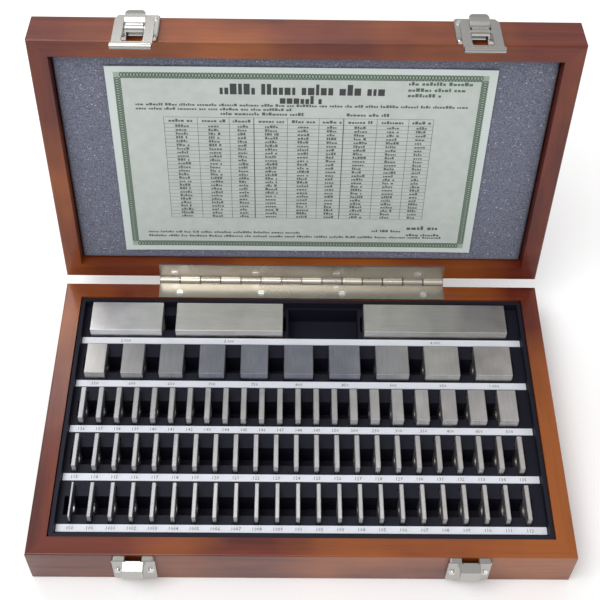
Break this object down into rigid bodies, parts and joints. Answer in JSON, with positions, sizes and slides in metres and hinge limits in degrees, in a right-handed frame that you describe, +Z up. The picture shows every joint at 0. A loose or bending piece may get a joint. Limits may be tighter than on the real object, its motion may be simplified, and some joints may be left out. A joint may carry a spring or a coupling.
{
  "type": "gauge block set",
  "caption": "Wooden case, hinged lid open, holding square steel gauge blocks in a slotted moulded tray, with label strips, foam lining, certificate and two toggle latches.",
  "frame": {"origin": "centre of the case's underside, on the surface it stands on", "axes": "+X to the right along the case's long side, +Y towards the hinge, +Z up"},
  "size_m": [0.342, 0.2684, 0.26],
  "materials": {
    "lacquered_wood": "gloss lacquer",
    "tray_plastic": "fine matt",
    "gauge_steel": "ground and lapped",
    "label_card": "matt",
    "certificate_paper": "matt",
    "foam": "open cell, speckled",
    "nickel_plate": "nickel plated"
  },
  "bodies": {
    "case": {"base_back_board": "lacquered_wood", "base_bottom_panel": "lacquered_wood", "base_front_board": "lacquered_wood", "base_left_board": "lacquered_wood", "base_right_board": "lacquered_wood", "block_0550": "gauge_steel", "block_0600": "gauge_steel", "block_0650": "gauge_steel", "block_0700": "gauge_steel", "block_0750": "gauge_steel", "block_0800": "gauge_steel", "block_0850": "gauge_steel", "block_0900": "gauge_steel", "block_0950": "gauge_steel", "block_1000": "gauge_steel", "block_2000": "gauge_steel", "block_3000": "gauge_steel", "block_4000": "gauge_steel", "block_tray": "tray_plastic", "blocks_row_1_fine": "gauge_steel", "blocks_row_1_first": "gauge_steel", "blocks_row_1_thousandths": "gauge_steel", "blocks_row_2_all": "gauge_steel", "blocks_row_3_thick": "gauge_steel", "blocks_row_3_thin": "gauge_steel", "catch_plate_left": "nickel_plate", "catch_plate_right": "nickel_plate", "catch_screws_left": "nickel_plate", "catch_screws_right": "nickel_plate", "hinge_base_leaf": "nickel_plate", "hinge_base_screws": "nickel_plate", "hinge_pin": "nickel_plate", "label_strip_1": "label_card", "label_strip_2": "label_card", "label_strip_3": "label_card", "label_strip_4": "label_card", "label_strip_5": "label_card"},
    "lid": {"certificate": "certificate_paper", "hinge_lid_leaf": "nickel_plate", "hinge_lid_screws": "nickel_plate", "latch_plate_left": "nickel_plate", "latch_plate_right": "nickel_plate", "latch_screws_left": "nickel_plate", "latch_screws_right": "nickel_plate", "lever_pin_left": "nickel_plate", "lever_pin_right": "nickel_plate", "lid_back_board": "lacquered_wood", "lid_foam": "foam", "lid_front_board": "lacquered_wood", "lid_left_board": "lacquered_wood", "lid_right_board": "lacquered_wood", "lid_top_panel": "lacquered_wood"},
    "lever_left": {"latch_lever_left": "nickel_plate", "loop_pin_left": "nickel_plate"},
    "loop_left": {"latch_loop_left": "nickel_plate"},
    "lever_right": {"latch_lever_right": "nickel_plate", "loop_pin_right": "nickel_plate"},
    "loop_right": {"latch_loop_right": "nickel_plate"}
  },
  "joints": [
    {"name": "lid_hinge", "type": "hinge", "parent": "case", "child": "lid", "pos_m": [0, 0.1075, 0.03415], "axis": [1, 0, 0], "range_deg": [0, 96]},
    {"name": "left_lever_lift", "type": "hinge", "parent": "lid", "child": "lever_left", "pos_m": [-0.1042, 0.13462, 0.2506], "axis": [1, 0, 0], "range_deg": [0, 110]},
    {"name": "left_loop_swing", "type": "hinge", "parent": "lever_left", "child": "loop_left", "pos_m": [-0.1042, 0.14049, 0.24898], "axis": [-1, 0, 0], "range_deg": [0, 127]},
    {"name": "right_lever_lift", "type": "hinge", "parent": "lid", "child": "lever_right", "pos_m": [0.1042, 0.13462, 0.2506], "axis": [1, 0, 0], "range_deg": [0, 110]},
    {"name": "right_loop_swing", "type": "hinge", "parent": "lever_right", "child": "loop_right", "pos_m": [0.1042, 0.14049, 0.24898], "axis": [-1, 0, 0], "range_deg": [0, 127]}
  ],
  "couplings": [
    {"joint": "left_loop_swing", "follows": "left_lever_lift", "ratio": 1.15},
    {"joint": "right_loop_swing", "follows": "right_lever_lift", "ratio": 1.15}
  ]
}
